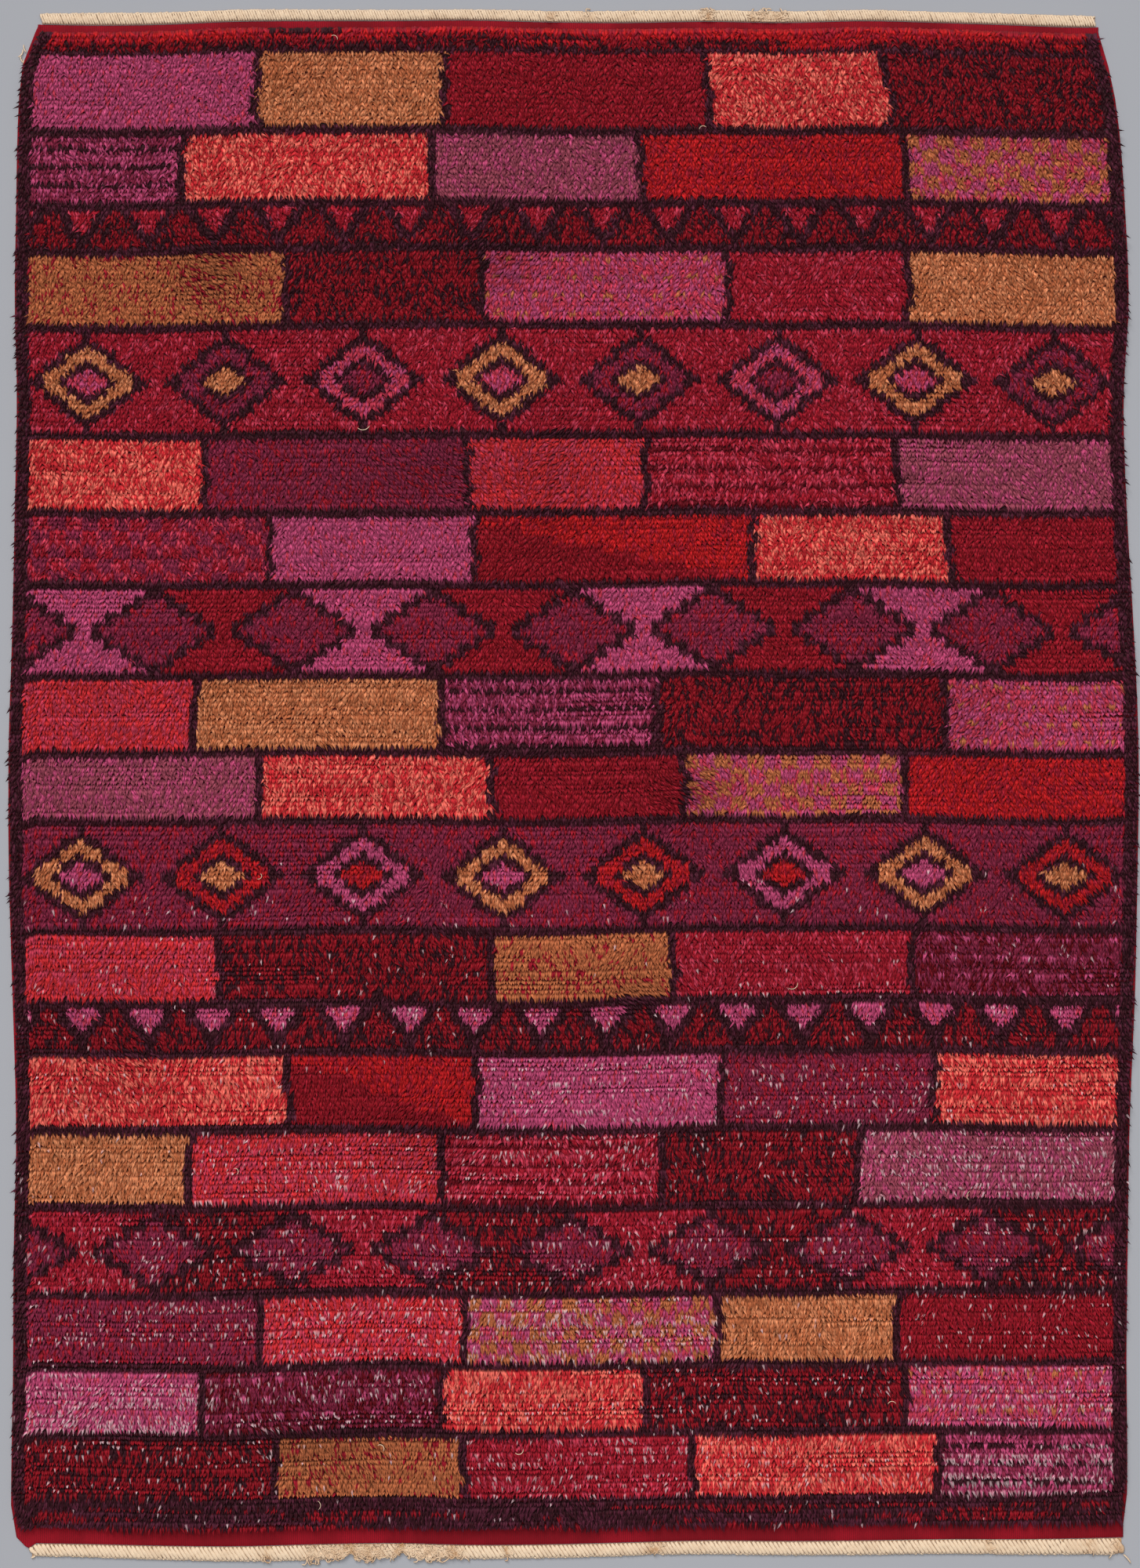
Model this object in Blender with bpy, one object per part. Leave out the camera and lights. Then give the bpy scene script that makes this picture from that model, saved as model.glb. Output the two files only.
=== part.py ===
"""A hand-knotted pile rug that lies flat: one woven cloth with its wool pile, and a plaited edge at each end.

Metres, +Z up. The rug lies on Z = 0 with its length along Y and its far end at +Y.
The origin is the middle of the underside of the whole rug.
"""

import collections
import math
import random

import bmesh
import bpy
import numpy as np

MM = 0.001

# Overall size of the rug, over the plaits and at the widest place
LENGTH = 2390 * MM
WIDTH = 1744 * MM

# Thickness of the cloth at its edge, in its flat-woven margins and in its pile, and the pile's slow swell
EDGE_THICKNESS = 2.4 * MM
GROUND_THICKNESS = 3.2 * MM
PILE_TOP = 13.0 * MM
NAP_SWELL = 0.7 * MM

# Flat-woven margins, where the deep red weft shows
SELVEDGE = 5.0 * MM
FAR_BAND = 12.0 * MM
NEAR_BAND = 20.0 * MM

# How far the pile takes to reach its full height at each rim: it leans towards the near end
SIDE_RISE = 10.0 * MM
FAR_RISE = 20.0 * MM
NEAR_RISE = 7.0 * MM
RIM_STEPS = (0.25, 0.6, 1.0)

# Cells of the cloth's upper face between its rims, and how much closer together they lie near the ends
FIELD_COLUMNS = 40
FIELD_ROWS = 46
EVEN_COLUMNS = 1.0
EVEN_ROWS = 0.5

# The plaits: their height, the height of their edge, their rounded section and the gap to the cloth
PLAIT_HEIGHT = 5.5 * MM
PLAIT_EDGE = 2.2 * MM
PLAIT_SECTION = (0.4, 0.86, 1.0, 0.86, 0.4)
PLAIT_TAPER = 3.0 * MM
GAP = 0.3 * MM

# Loose warp ends at the worn stretches of the plaits
STRAND_PITCH = 6.0 * MM
STRAND_TIP = 0.35
STRAND_DROP = 0.5
STRAND_LEAN = 0.8 * MM
STRAND_REACH = (0.6, 1.1)

# The corner of the near band that runs on past the plait's left end
CORNER_EAR = 11.0 * MM

# Edges of the solids that are sharper than this stay sharp
SHARP_EDGE = math.radians(45)

# How far each side is drawn in from the rug's widest place, by distance along it from the middle, in mm
Side = collections.namedtuple("Side", "at left_in right_in")
SIDES = (
    Side(-1176, 28, 24),
    Side(-1154, 12, 24),
    Side(-1134, 7, 20),
    Side(-1038, 5, 18),
    Side(-917, 7, 19),
    Side(-723, 8, 17),
    Side(-529, 12, 14),
    Side(-336, 7, 6),
    Side(-142, 1, 2),
    Side(51, 0, 0),
    Side(245, 6, 8),
    Side(439, 10, 19),
    Side(632, 13, 23),
    Side(729, 10, 16),
    Side(898, 12, 21),
    Side(1056, 16, 34),
    Side(1116, 21, 44),
    Side(1150, 33, 56),
    Side(1182, 47, 63),
)

# The seams between cloth and plaits, in from the furthest place, and the plaits' widths, in mm
End = collections.namedtuple("End", "at far_seam far_plait near_seam near_plait")
ENDS = (
    End(-850, 6, 14, 5, 20),
    End(-727, 8, 17, 3, 21),
    End(-642, 7, 16, 1, 20),
    End(-521, 2, 15, 0, 22),
    End(-400, 1, 15, 3, 25),
    End(-279, 1, 15, 5, 25),
    End(-158, 0, 14, 2, 22),
    End(-37, 3, 17, 3, 22),
    End(84, 4, 17, 6, 21),
    End(205, 2, 17, 9, 22),
    End(326, 4, 17, 8, 23),
    End(447, 1, 15, 9, 23),
    End(568, 4, 15, 11, 23),
    End(689, 8, 16, 11, 22),
    End(770, 11, 17, 12, 25),
    End(850, 10, 13, 14, 28),
)

# The furthest seam lines, and where each plait starts and stops across the rug
FAR_SEAM = LENGTH / 2 - 16.0 * MM
NEAR_SEAM = -LENGTH / 2 + 20.0 * MM
FAR_PLAIT_ENDS = (-821 * MM, 805 * MM)
NEAR_PLAIT_ENDS = (-836 * MM, 846 * MM)

# Worn stretches of the plaits, in mm from the rug's middle, and how long the loose ends are there
Worn = collections.namedtuple("Worn", "start stop length")
FAR_WORN = (
    Worn(-46, -24, 5),
    Worn(10, 38, 6),
    Worn(204, 230, 7),
    Worn(266, 326, 9),
)
NEAR_WORN = (
    Worn(-412, -290, 5),
    Worn(-270, -102, 6),
    Worn(99, 136, 4),
)

CREAM = (0.68, 0.52, 0.34, 1.0)
CRIMSON = (0.30, 0.012, 0.022, 1.0)


def start_empty():
    """Removes what the file holds, so that the script can be run again."""
    for thing in list(bpy.data.objects):
        bpy.data.objects.remove(thing, do_unlink=True)
    for group in list(bpy.data.collections):
        bpy.data.collections.remove(group)


def cloth_material(name, colour, roughness):
    material = bpy.data.materials.new(name)
    material.use_nodes = True
    shader = material.node_tree.nodes["Principled BSDF"]
    shader.inputs["Base Color"].default_value = colour
    shader.inputs["Roughness"].default_value = roughness
    shader.inputs["Metallic"].default_value = 0.0
    return material


def read_smoothly(table, wanted, at):
    """The wanted column of a table at a place in metres, on a smooth curve through its rows."""
    places = np.array([row.at for row in table]) * MM
    values = np.array([getattr(row, wanted) for row in table]) * MM
    slopes = np.gradient(values, places)
    at = min(max(at, places[0]), places[-1])
    high = min(max(int(np.searchsorted(places, at)), 1), len(places) - 1)
    low = high - 1
    step = places[high] - places[low]
    t = (at - places[low]) / step
    start = values[low] * (1 + 2 * t) + slopes[low] * step * t
    stop = values[high] * (3 - 2 * t) - slopes[high] * step * (1 - t)
    return float(start * (1 - t) ** 2 + stop * t**2)


def left_side(y):
    return -WIDTH / 2 + max(read_smoothly(SIDES, "left_in", y), 0.0)


def right_side(y):
    return WIDTH / 2 - max(read_smoothly(SIDES, "right_in", y), 0.0)


def rim_places(margin, rise):
    """Distances in from a rim: its edge, the pile's root line, and the steps up to full height."""
    return [0.0, margin, *(margin + rise * step for step in RIM_STEPS)]


def spread_places(low_rim, high_rim, cells, even, length):
    """All grid lines from one rim to the other, as distances from the first, closer together near both."""
    start, stop = low_rim[-1], length - high_rim[-1]
    shares = [k / cells for k in range(1, cells)]
    eased = [even * share + (1 - even) * (1 - math.cos(math.pi * share)) / 2 for share in shares]
    middle = [start + (stop - start) * share for share in eased]
    return [*low_rim, *middle, *(length - place for place in reversed(high_rim))]


def place_between(place, low, high, low_rim, high_rim, length):
    """A place from spread_places, moved so that both rims keep their distance from the edges low and high."""
    if place <= low_rim[-1]:
        return low + place
    if place >= length - high_rim[-1]:
        return high - (length - place)
    share = (place - low_rim[-1]) / (length - low_rim[-1] - high_rim[-1])
    return low + low_rim[-1] + (high - high_rim[-1] - low - low_rim[-1]) * share


def nap(x, y):
    """The pile's slow unevenness, from -1 to 1."""
    broad = math.sin(5.3 * x + 1.7 * y + 0.4) * math.cos(3.1 * y - 2.2 * x)
    close = math.sin(13.7 * x - 4.9 * y + 1.1) * math.sin(11.3 * y + 3.7 * x)
    return 0.6 * broad + 0.4 * close


def rise_share(distance, rise):
    """How much of its height the pile has at a distance in from its root line."""
    share = min(max(distance / rise, 0.0), 1.0)
    return math.sin(share * math.pi / 2)


def cloth_height(x, y, in_side, in_near, in_far):
    """The height of the cloth's upper face, from the distances in from its sides and ends."""
    if min(in_side, in_near, in_far) <= 0:
        return EDGE_THICKNESS
    pile = min(
        rise_share(in_side - SELVEDGE, SIDE_RISE),
        rise_share(in_near - NEAR_BAND, NEAR_RISE),
        rise_share(in_far - FAR_BAND, FAR_RISE),
    )
    return GROUND_THICKNESS + (PILE_TOP - GROUND_THICKNESS + NAP_SWELL * nap(x, y)) * pile


def lay_on_floor(name, columns, rows, place, material, group):
    """A closed solid with a flat underside: a grid placed by place(column, row), closed down to the floor."""
    bm = bmesh.new()
    bmesh.ops.create_grid(bm, x_segments=columns - 1, y_segments=rows - 1, size=0.5)
    for vertex in bm.verts:
        column = round((vertex.co.x + 0.5) * (columns - 1))
        row = round((vertex.co.y + 0.5) * (rows - 1))
        vertex.co = place(column, row)
    border = [edge for edge in bm.edges if edge.is_boundary]
    dropped = bmesh.ops.extrude_edge_only(bm, edges=border)["geom"]
    for vertex in (part for part in dropped if isinstance(part, bmesh.types.BMVert)):
        vertex.co.z = 0.0
    rim = [edge for edge in bm.edges if edge.is_boundary]
    bmesh.ops.contextual_create(bm, geom=rim)
    bmesh.ops.recalc_face_normals(bm, faces=bm.faces)
    mesh = bpy.data.meshes.new(name)
    bm.to_mesh(mesh)
    bm.free()
    mesh.shade_smooth()
    mesh.set_sharp_from_angle(angle=SHARP_EDGE)
    mesh.materials.append(material)
    solid = bpy.data.objects.new(name, mesh)
    group.objects.link(solid)
    return solid


def make_cloth(material, group):
    """The woven cloth with its pile. Gives the points of its far and near seams too."""
    side_rim = rim_places(SELVEDGE, SIDE_RISE)
    near_rim = rim_places(NEAR_BAND, NEAR_RISE)
    far_rim = rim_places(FAR_BAND, FAR_RISE)
    length = FAR_SEAM - NEAR_SEAM
    across = spread_places(side_rim, side_rim, FIELD_COLUMNS, EVEN_COLUMNS, WIDTH)
    along = spread_places(near_rim, far_rim, FIELD_ROWS, EVEN_ROWS, length)

    def place_on_plan(column, row):
        straight_y = NEAR_SEAM + along[row]
        left, right = left_side(straight_y), right_side(straight_y)
        x = place_between(across[column], left, right, side_rim, side_rim, WIDTH)
        near = NEAR_SEAM + read_smoothly(ENDS, "near_seam", x)
        far = FAR_SEAM - read_smoothly(ENDS, "far_seam", x)
        return x, place_between(along[row], near, far, near_rim, far_rim, length)

    def place(column, row):
        x, y = place_on_plan(column, row)
        if column == 0 and row == 0:
            y -= CORNER_EAR
        in_side = min(across[column], WIDTH - across[column])
        return x, y, cloth_height(x, y, in_side, along[row], length - along[row])

    lay_on_floor("pile_cloth", len(across), len(along), place, material, group)
    far_points = [place_on_plan(column, len(along) - 1) for column in range(len(across))]
    near_points = [place_on_plan(column, 0) for column in range(len(across))]
    return far_points, near_points


def plait_places(ends, worn, seam):
    """Where a plait has its sections: at the seam's bends and both ends, and closer together where worn."""
    start, stop = ends
    places = [x for x, _ in seam if start + 2 * PLAIT_TAPER < x < stop - 2 * PLAIT_TAPER]
    for stretch in worn:
        low, high = stretch.start * MM, stretch.stop * MM
        count = round((high - low) / (STRAND_PITCH / 2))
        places += [low + (high - low) * k / count for k in range(count + 1)]
    return [start, start + PLAIT_TAPER, *sorted(places), stop - PLAIT_TAPER, stop]


def draw_out_strands(plait, worn, outward):
    """Draws every other short face of the plait's outer wall out into a loose warp end."""
    chance = random.Random(11)
    bm = bmesh.new()
    bm.from_mesh(plait.data)
    walls = []
    for face in bm.faces:
        upright = len(face.verts) == 4 and abs(face.normal.z) < 0.1
        if upright and face.normal.y * outward > 0.7:
            walls.append((face.calc_center_median().x, face))
    walls.sort(key=lambda wall: wall[0])
    for stretch in worn:
        worn_walls = [face for x, face in walls if stretch.start * MM < x < stretch.stop * MM]
        for face in worn_walls[::2]:
            drawn = bmesh.ops.extrude_discrete_faces(bm, faces=[face])["faces"][0]
            middle = drawn.calc_center_median()
            reach = stretch.length * MM * chance.uniform(*STRAND_REACH)
            lean = chance.uniform(-STRAND_LEAN, STRAND_LEAN)
            for vertex in drawn.verts:
                vertex.co.x = middle.x + (vertex.co.x - middle.x) * STRAND_TIP + lean
                vertex.co.y += outward * reach
                vertex.co.z *= STRAND_DROP
    bmesh.ops.recalc_face_normals(bm, faces=bm.faces)
    bm.to_mesh(plait.data)
    bm.free()
    plait.data.set_sharp_from_angle(angle=SHARP_EDGE)


def make_plait(name, ends, worn, seam, outward, material, group):
    """A flat braid of warp ends along one end of the cloth, with loose strands where it is worn."""
    places = plait_places(ends, worn, seam)
    steps = len(PLAIT_SECTION) - 1

    def place(column, row):
        x = places[column]
        step = row if outward > 0 else steps - row
        seam_y = float(np.interp(x, *zip(*seam)))
        width = read_smoothly(ENDS, name, x)
        y = seam_y + outward * (GAP + (width - GAP) * step / steps)
        end_section = column in (0, len(places) - 1)
        return x, y, PLAIT_EDGE if end_section else PLAIT_HEIGHT * PLAIT_SECTION[step]

    plait = lay_on_floor(name, len(places), len(PLAIT_SECTION), place, material, group)
    draw_out_strands(plait, worn, outward)


start_empty()
rug = bpy.data.collections.new("pile_rug")
bpy.context.scene.collection.children.link(rug)
wool = cloth_material("crimson_wool", CRIMSON, 0.85)
warp = cloth_material("cream_warp", CREAM, 0.8)
far_points, near_points = make_cloth(wool, rug)
make_plait("far_plait", FAR_PLAIT_ENDS, FAR_WORN, far_points, 1, warp, rug)
make_plait("near_plait", NEAR_PLAIT_ENDS, NEAR_WORN, near_points, -1, warp, rug)
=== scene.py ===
import math
from collections import namedtuple

import bpy
import numpy as np
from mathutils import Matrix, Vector


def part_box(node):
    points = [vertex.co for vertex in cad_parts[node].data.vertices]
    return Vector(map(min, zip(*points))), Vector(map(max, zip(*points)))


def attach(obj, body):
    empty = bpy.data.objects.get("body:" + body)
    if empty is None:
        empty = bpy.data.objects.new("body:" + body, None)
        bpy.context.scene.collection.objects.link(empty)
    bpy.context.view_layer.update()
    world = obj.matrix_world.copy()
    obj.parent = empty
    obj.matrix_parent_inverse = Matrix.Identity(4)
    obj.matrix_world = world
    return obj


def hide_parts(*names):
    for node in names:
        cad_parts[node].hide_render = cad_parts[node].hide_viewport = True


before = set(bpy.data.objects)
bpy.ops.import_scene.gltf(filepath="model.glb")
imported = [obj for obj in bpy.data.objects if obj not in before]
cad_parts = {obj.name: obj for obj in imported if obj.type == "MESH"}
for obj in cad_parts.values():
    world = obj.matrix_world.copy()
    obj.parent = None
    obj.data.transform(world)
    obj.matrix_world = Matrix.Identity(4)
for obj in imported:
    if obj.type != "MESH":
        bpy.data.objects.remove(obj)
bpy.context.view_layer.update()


# The ground cloth: a strong warp packed over with deep red wool weft, so that only the weft shows.
# It stays bare in a flat band at each end and in a narrow corded selvedge down each side.
# The weaver beats each weft down hard, which leaves one fine rib over every warp.
MM = 0.001
FLOOR_TOUCH = 0.05 * MM
CLOTH_SIZE = (1.74, 2.36)
CLOTH_RIM = 1.5 * MM
BAND_TOP = 2.5 * MM
UNDER_PILE = 3.0 * MM
SELVEDGE = 5.0 * MM
SELVEDGE_CROWN = 0.9 * MM
SELVEDGE_STEPS = (0, 0.2, 0.45, 0.75, 1.0)
CLOTH_WAVE = 0.25 * MM
CLOTH_END_ROUND = 2 * MM
FAR_BAND = 12.0 * MM
NEAR_BAND = 20.0 * MM
BAND_STEPS = 8
FIELD_STEPS = 48
CLOTH_COLUMNS = 290
WARP_PITCH = 3.2 * MM
WEFT_PITCH = 1.1 * MM
WEFT_RED = (132, 10, 24)
WEFT_SHADOW = (96, 8, 20)
WEFT_BRIGHT = (162, 18, 36)
# Painted shade: the deep wine the weft is coloured where it lies under the pile, in the strands' shade
WEFT_PILE_SHADE = (84, 16, 26)
WAVE_TURN = 20.0


def edges_on_floor(node):
    """The near, right, far and left edge of a node's foot, each as points in order along it."""
    points = np.array([vertex.co[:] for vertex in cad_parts[node].data.vertices])
    foot = np.unique(points[points[:, 2] < FLOOR_TOUCH][:, :2].round(6), axis=0)
    ring = foot[np.argsort(np.arctan2(foot[:, 1], foot[:, 0]))]
    ring = np.roll(ring, -int(np.argmax(ring @ (-1, -1))), axis=0)
    turns = [int(np.argmax(ring @ corner)) for corner in ((1, -1), (1, 1), (-1, 1))]
    near = ring[: turns[0] + 1]
    right = ring[turns[0] : turns[1] + 1]
    far = ring[turns[1] : turns[2] + 1][::-1]
    left = np.vstack([ring[turns[2] :], ring[:1]])[::-1]
    return near, right, far, left


near_edge, right_edge, far_edge, left_edge = edges_on_floor("pile_cloth")
CLOTH_NEAR = float(np.median(near_edge[:, 1]))
CLOTH_FAR = float(np.median(far_edge[:, 1]))


def on_cloth(x_share, y_share, in_side=0.0, in_near=0.0, in_far=0.0):
    """Where a point at these shares of the cloth's width and length lies, inside the given margins."""
    straight_y = CLOTH_NEAR + (CLOTH_FAR - CLOTH_NEAR) * y_share
    left = np.interp(straight_y, left_edge[:, 1], left_edge[:, 0]) + in_side
    right = np.interp(straight_y, right_edge[:, 1], right_edge[:, 0]) - in_side
    x = left + (right - left) * x_share
    near = np.interp(x, near_edge[:, 0], near_edge[:, 1]) + in_near
    far = np.interp(x, far_edge[:, 0], far_edge[:, 1]) - in_far
    return x, near + (far - near) * y_share


def linear(colour):
    """A shader colour from red, green and blue as seen, from 0 to 255."""
    seen = np.asarray(colour, float) / 255
    return np.where(seen <= 0.04045, seen / 12.92, ((seen + 0.055) / 1.055) ** 2.4)


def rgba(colour):
    """The same with full cover, as a colour socket takes it."""
    return (*linear(colour), 1.0)


def closed_grid(name, points):
    """A closed solid: its upper face a grid of points, rows by columns, its foot flat on the floor."""
    rows, columns, _ = points.shape
    number = np.arange(rows * columns).reshape(rows, columns)
    quads = np.stack([number[:-1, :-1], number[:-1, 1:], number[1:, 1:], number[1:, :-1]], axis=-1)
    faces = quads.reshape(-1, 4).tolist()
    rim = [*number[0], *number[1:, -1], *number[-1, -2::-1], *number[-2:0:-1, 0]]
    foot = points.reshape(-1, 3)[rim].copy()
    foot[:, 2] = 0.0
    below = [rows * columns + k for k in range(len(rim))]
    for k, _ in enumerate(rim):
        after = (k + 1) % len(rim)
        faces.append([int(rim[after]), int(rim[k]), below[k], below[after]])
    faces.append(below[::-1])
    mesh = bpy.data.meshes.new(name)
    mesh.from_pydata(np.vstack([points.reshape(-1, 3), foot]).tolist(), [], faces)
    mesh.validate()
    mesh.shade_smooth()
    mesh.set_sharp_from_angle(angle=math.radians(50))
    piece = bpy.data.objects.new(name, mesh)
    bpy.context.scene.collection.objects.link(piece)
    return piece


def mark_points(mesh, name, kind, field, values):
    """Writes a value on each point of a mesh, for its material to read."""
    marks = mesh.attributes.new(name, kind, "POINT")
    marks.data.foreach_set(field, np.asarray(values).astype(np.float32).ravel())


def node(tree, kind, inputs=None, **settings):
    """A shader node with its settings, and with each named input set or linked."""
    made = tree.nodes.new(kind)
    for name, value in settings.items():
        setattr(made, name, value)
    for socket, value in (inputs or {}).items():
        if isinstance(value, bpy.types.NodeSocket):
            tree.links.new(value, made.inputs[socket])
        else:
            made.inputs[socket].default_value = value
    return made


def mixed(tree, share, first, second, way="MIX"):
    """The colour of two mixed by a share."""
    MIX_SHARE, MIX_FIRST, MIX_SECOND, MIX_RESULT = 0, 6, 7, 2
    made = node(tree, "ShaderNodeMix", data_type="RGBA", blend_type=way)
    for socket, value in ((MIX_SHARE, share), (MIX_FIRST, first), (MIX_SECOND, second)):
        if isinstance(value, bpy.types.NodeSocket):
            tree.links.new(value, made.inputs[socket])
        else:
            made.inputs[socket].default_value = value
    return made.outputs[MIX_RESULT]


def sums(tree, way, first, second):
    """One number worked out from two."""
    return node(tree, "ShaderNodeMath", {0: first, 1: second}, operation=way).outputs[0]


def noise(tree, place, size, detail=2.0, stretch=(1, 1, 1)):
    """Smooth unevenness from 0 to 1, with lumps of about the given size in metres."""
    scaled = node(tree, "ShaderNodeMapping", {"Vector": place, "Scale": stretch})
    made = node(
        tree,
        "ShaderNodeTexNoise",
        {"Vector": scaled.outputs[0], "Scale": 1 / size, "Detail": detail},
    )
    return made.outputs["Fac"]


def ribs(tree, place, pitch, direction, wobble=0.0):
    """Even ribs with the given pitch in metres, crossing the given direction."""
    made = node(
        tree,
        "ShaderNodeTexWave",
        {"Vector": place, "Scale": math.tau / (WAVE_TURN * pitch), "Distortion": wobble},
        bands_direction=direction,
    )
    return made.outputs["Fac"]


def ramp(tree, value, low, high, start, stop):
    """A number moved from one range to another, and kept within it."""
    inputs = {"Value": value, "From Min": low, "From Max": high, "To Min": start, "To Max": stop}
    return node(tree, "ShaderNodeMapRange", inputs).outputs["Result"]


def bumped(tree, height, depth, strength=1.0):
    """A relief of the given depth in metres."""
    inputs = {"Height": height, "Distance": depth, "Strength": strength}
    return node(tree, "ShaderNodeBump", inputs).outputs[0]


def new_material(name):
    """A material with its nodes and its main shader."""
    material = bpy.data.materials.new(name)
    material.use_nodes = True
    return material, material.node_tree, material.node_tree.nodes["Principled BSDF"]


def weft_faced_wool():
    """Beaten-down weft: fine ribs over the warps, crossed by the passes of yarn, faded in patches, with
    painted shade in the grooves and under the pile.
    """
    material, tree, shader = new_material("weft_faced_wool")
    place = node(tree, "ShaderNodeTexCoord").outputs["Object"]
    over_warps = ribs(tree, place, WARP_PITCH, "X", 0.4)
    passes = ribs(tree, place, WEFT_PITCH, "Y", 1.5)
    fibres = noise(tree, place, 0.7 * MM, 3.0, (0.5, 1.6, 1))
    patches = noise(tree, place, 90 * MM, 3.0, (1, 0.6, 1))
    relief = sums(tree, "ADD", sums(tree, "MULTIPLY", over_warps, passes), fibres)
    shade = ramp(tree, relief, 0.35, 1.3, 0.0, 1.0)
    colour = mixed(tree, shade, rgba(WEFT_SHADOW), rgba(WEFT_RED))
    faded = sums(tree, "MULTIPLY", ramp(tree, patches, 0.42, 0.62, 0.0, 1.0), shade)
    colour = mixed(tree, faded, colour, rgba(WEFT_BRIGHT))
    # Painted shade: the weft under the pile is darkened to deep wine for the shade the strands cast on it
    shaded_under_pile = node(tree, "ShaderNodeAttribute", attribute_name="shaded_under_pile").outputs["Fac"]
    colour = mixed(tree, shaded_under_pile, colour, rgba(WEFT_PILE_SHADE))
    tree.links.new(colour, shader.inputs["Base Color"])
    tree.links.new(ramp(tree, fibres, 0.3, 0.7, 0.62, 0.86), shader.inputs["Roughness"])
    tree.links.new(bumped(tree, relief, 0.45 * MM, 0.7), shader.inputs["Normal"])
    shader.inputs["Specular IOR Level"].default_value = 0.1
    return material


def cloth_steps():
    """Shares of the cloth's length for its rows of points: close in the bands, wide under the pile."""
    length = CLOTH_FAR - CLOTH_NEAR
    near = np.linspace(0, NEAR_BAND / length, BAND_STEPS)
    far = 1 - np.linspace(FAR_BAND / length, 0, BAND_STEPS)
    return np.concatenate([near[:-1], np.linspace(near[-1], far[0], FIELD_STEPS), far[1:]])


def make_ground_cloth():
    """The cloth from selvedge to selvedge, a little lower in its bare bands than under the pile."""
    length = CLOTH_FAR - CLOTH_NEAR
    steps = cloth_steps()
    side = np.array(SELVEDGE_STEPS) * SELVEDGE
    middle = np.linspace(0, 1, CLOTH_COLUMNS)
    points = []
    for share in steps:
        left, _ = on_cloth(np.array([0.0]), np.array([share]))
        right, _ = on_cloth(np.array([1.0]), np.array([share]))
        width = float(right[0] - left[0])
        field = SELVEDGE + (width - 2 * SELVEDGE) * middle[1:-1]
        across = np.concatenate([side, field, width - side[::-1]])
        x, y = on_cloth(across / width, np.full(len(across), share))
        in_side = np.minimum(across, width - across)
        in_end = min(share, 1 - share) * length
        height = UNDER_PILE if NEAR_BAND < share * length < length - FAR_BAND else BAND_TOP
        cord = SELVEDGE_CROWN * np.sin(np.pi * np.clip(in_side / SELVEDGE, 0, 1))
        round_off = np.clip(min(in_end / CLOTH_END_ROUND, 1) * np.clip(in_side / MM, 0, 1), 0, 1)
        slow = CLOTH_WAVE * np.sin(x * 61 + 3 * np.sin(y * 9)) * (height == BAND_TOP)
        up = CLOTH_RIM + (height + slow - CLOTH_RIM) * round_off + cord
        points.append(np.stack([x, y, up], axis=-1))
    cloth = closed_grid("ground_cloth", np.array(points))
    along = np.repeat(steps * length, len(across))
    side_on = np.tile(in_side, len(steps))
    # Painted shade: marks the cloth that lies under the pile, for its material to darken as in the strands'
    # shade
    shaded_under_pile = (along > NEAR_BAND + MM) & (along < length - FAR_BAND - MM) & (side_on > SELVEDGE + MM)
    foot = np.zeros(len(cloth.data.vertices) - len(shaded_under_pile))
    mark_points(cloth.data, "shaded_under_pile", "FLOAT", "value", np.concatenate([shaded_under_pile, foot]))
    return cloth


ground_cloth = make_ground_cloth()
ground_cloth.data.materials.append(weft_faced_wool())
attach(ground_cloth, "root")
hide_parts("pile_cloth")


# The design, in knots: courses of unlike blocks laid like bricks, with bands of stepped lozenges,
# saw teeth and hourglasses between them, all drawn round in near-black purple.
# Each block is knotted from two wools held together, so its colour is flecked.
ROWS = 330
COLUMNS = 272
LINE_ROWS = 2
LINE_COLUMNS = 2
FAR_STRIP = 5
NEAR_STRIP = 5
SIDE_STRIP = 3
LOZENGES = 8
TEETH = 17
HOURGLASSES = 8
SCARLET_FROM = (0.25, 0.45, 0.7, 0.9)

YARNS = {
    "aubergine": (56, 20, 28),
    "dusk": (82, 32, 48),
    "plum": (130, 38, 64),
    "wine": (98, 12, 24),
    "garnet": (140, 20, 32),
    "crimson": (156, 26, 42),
    "scarlet": (186, 28, 32),
    "poppy": (202, 46, 52),
    "coral": (236, 110, 96),
    "rose": (192, 58, 80),
    "magenta": (184, 72, 112),
    "mauve": (154, 70, 88),
    "ochre": (184, 104, 66),
    "camel": (214, 134, 92),
}
YARN_NAMES = list(YARNS)

# Painted highlights: the near-white glint painted on some strand tips, how much of it each fill takes at
# the near end, and how little all the others take
GLINT_COLOUR = (255, 218, 222)
GLINT_SHARE = 0.6
SELDOM_GLINT = 0.04
GLINT_BY_FILL = {
    "magenta": 1.0,
    "plum_pins": 1.0,
    "mauve": 0.9,
    "rose": 0.8,
    "checks": 0.7,
    "seeds": 0.7,
    "pins": 0.6,
    "brick": 0.5,
    "plum": 0.5,
    "crimson": 0.35,
    "dark_seeds": 0.35,
    "night": 0.2,
    "garnet": 0.25,
    "coral": 0.2,
}

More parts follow.
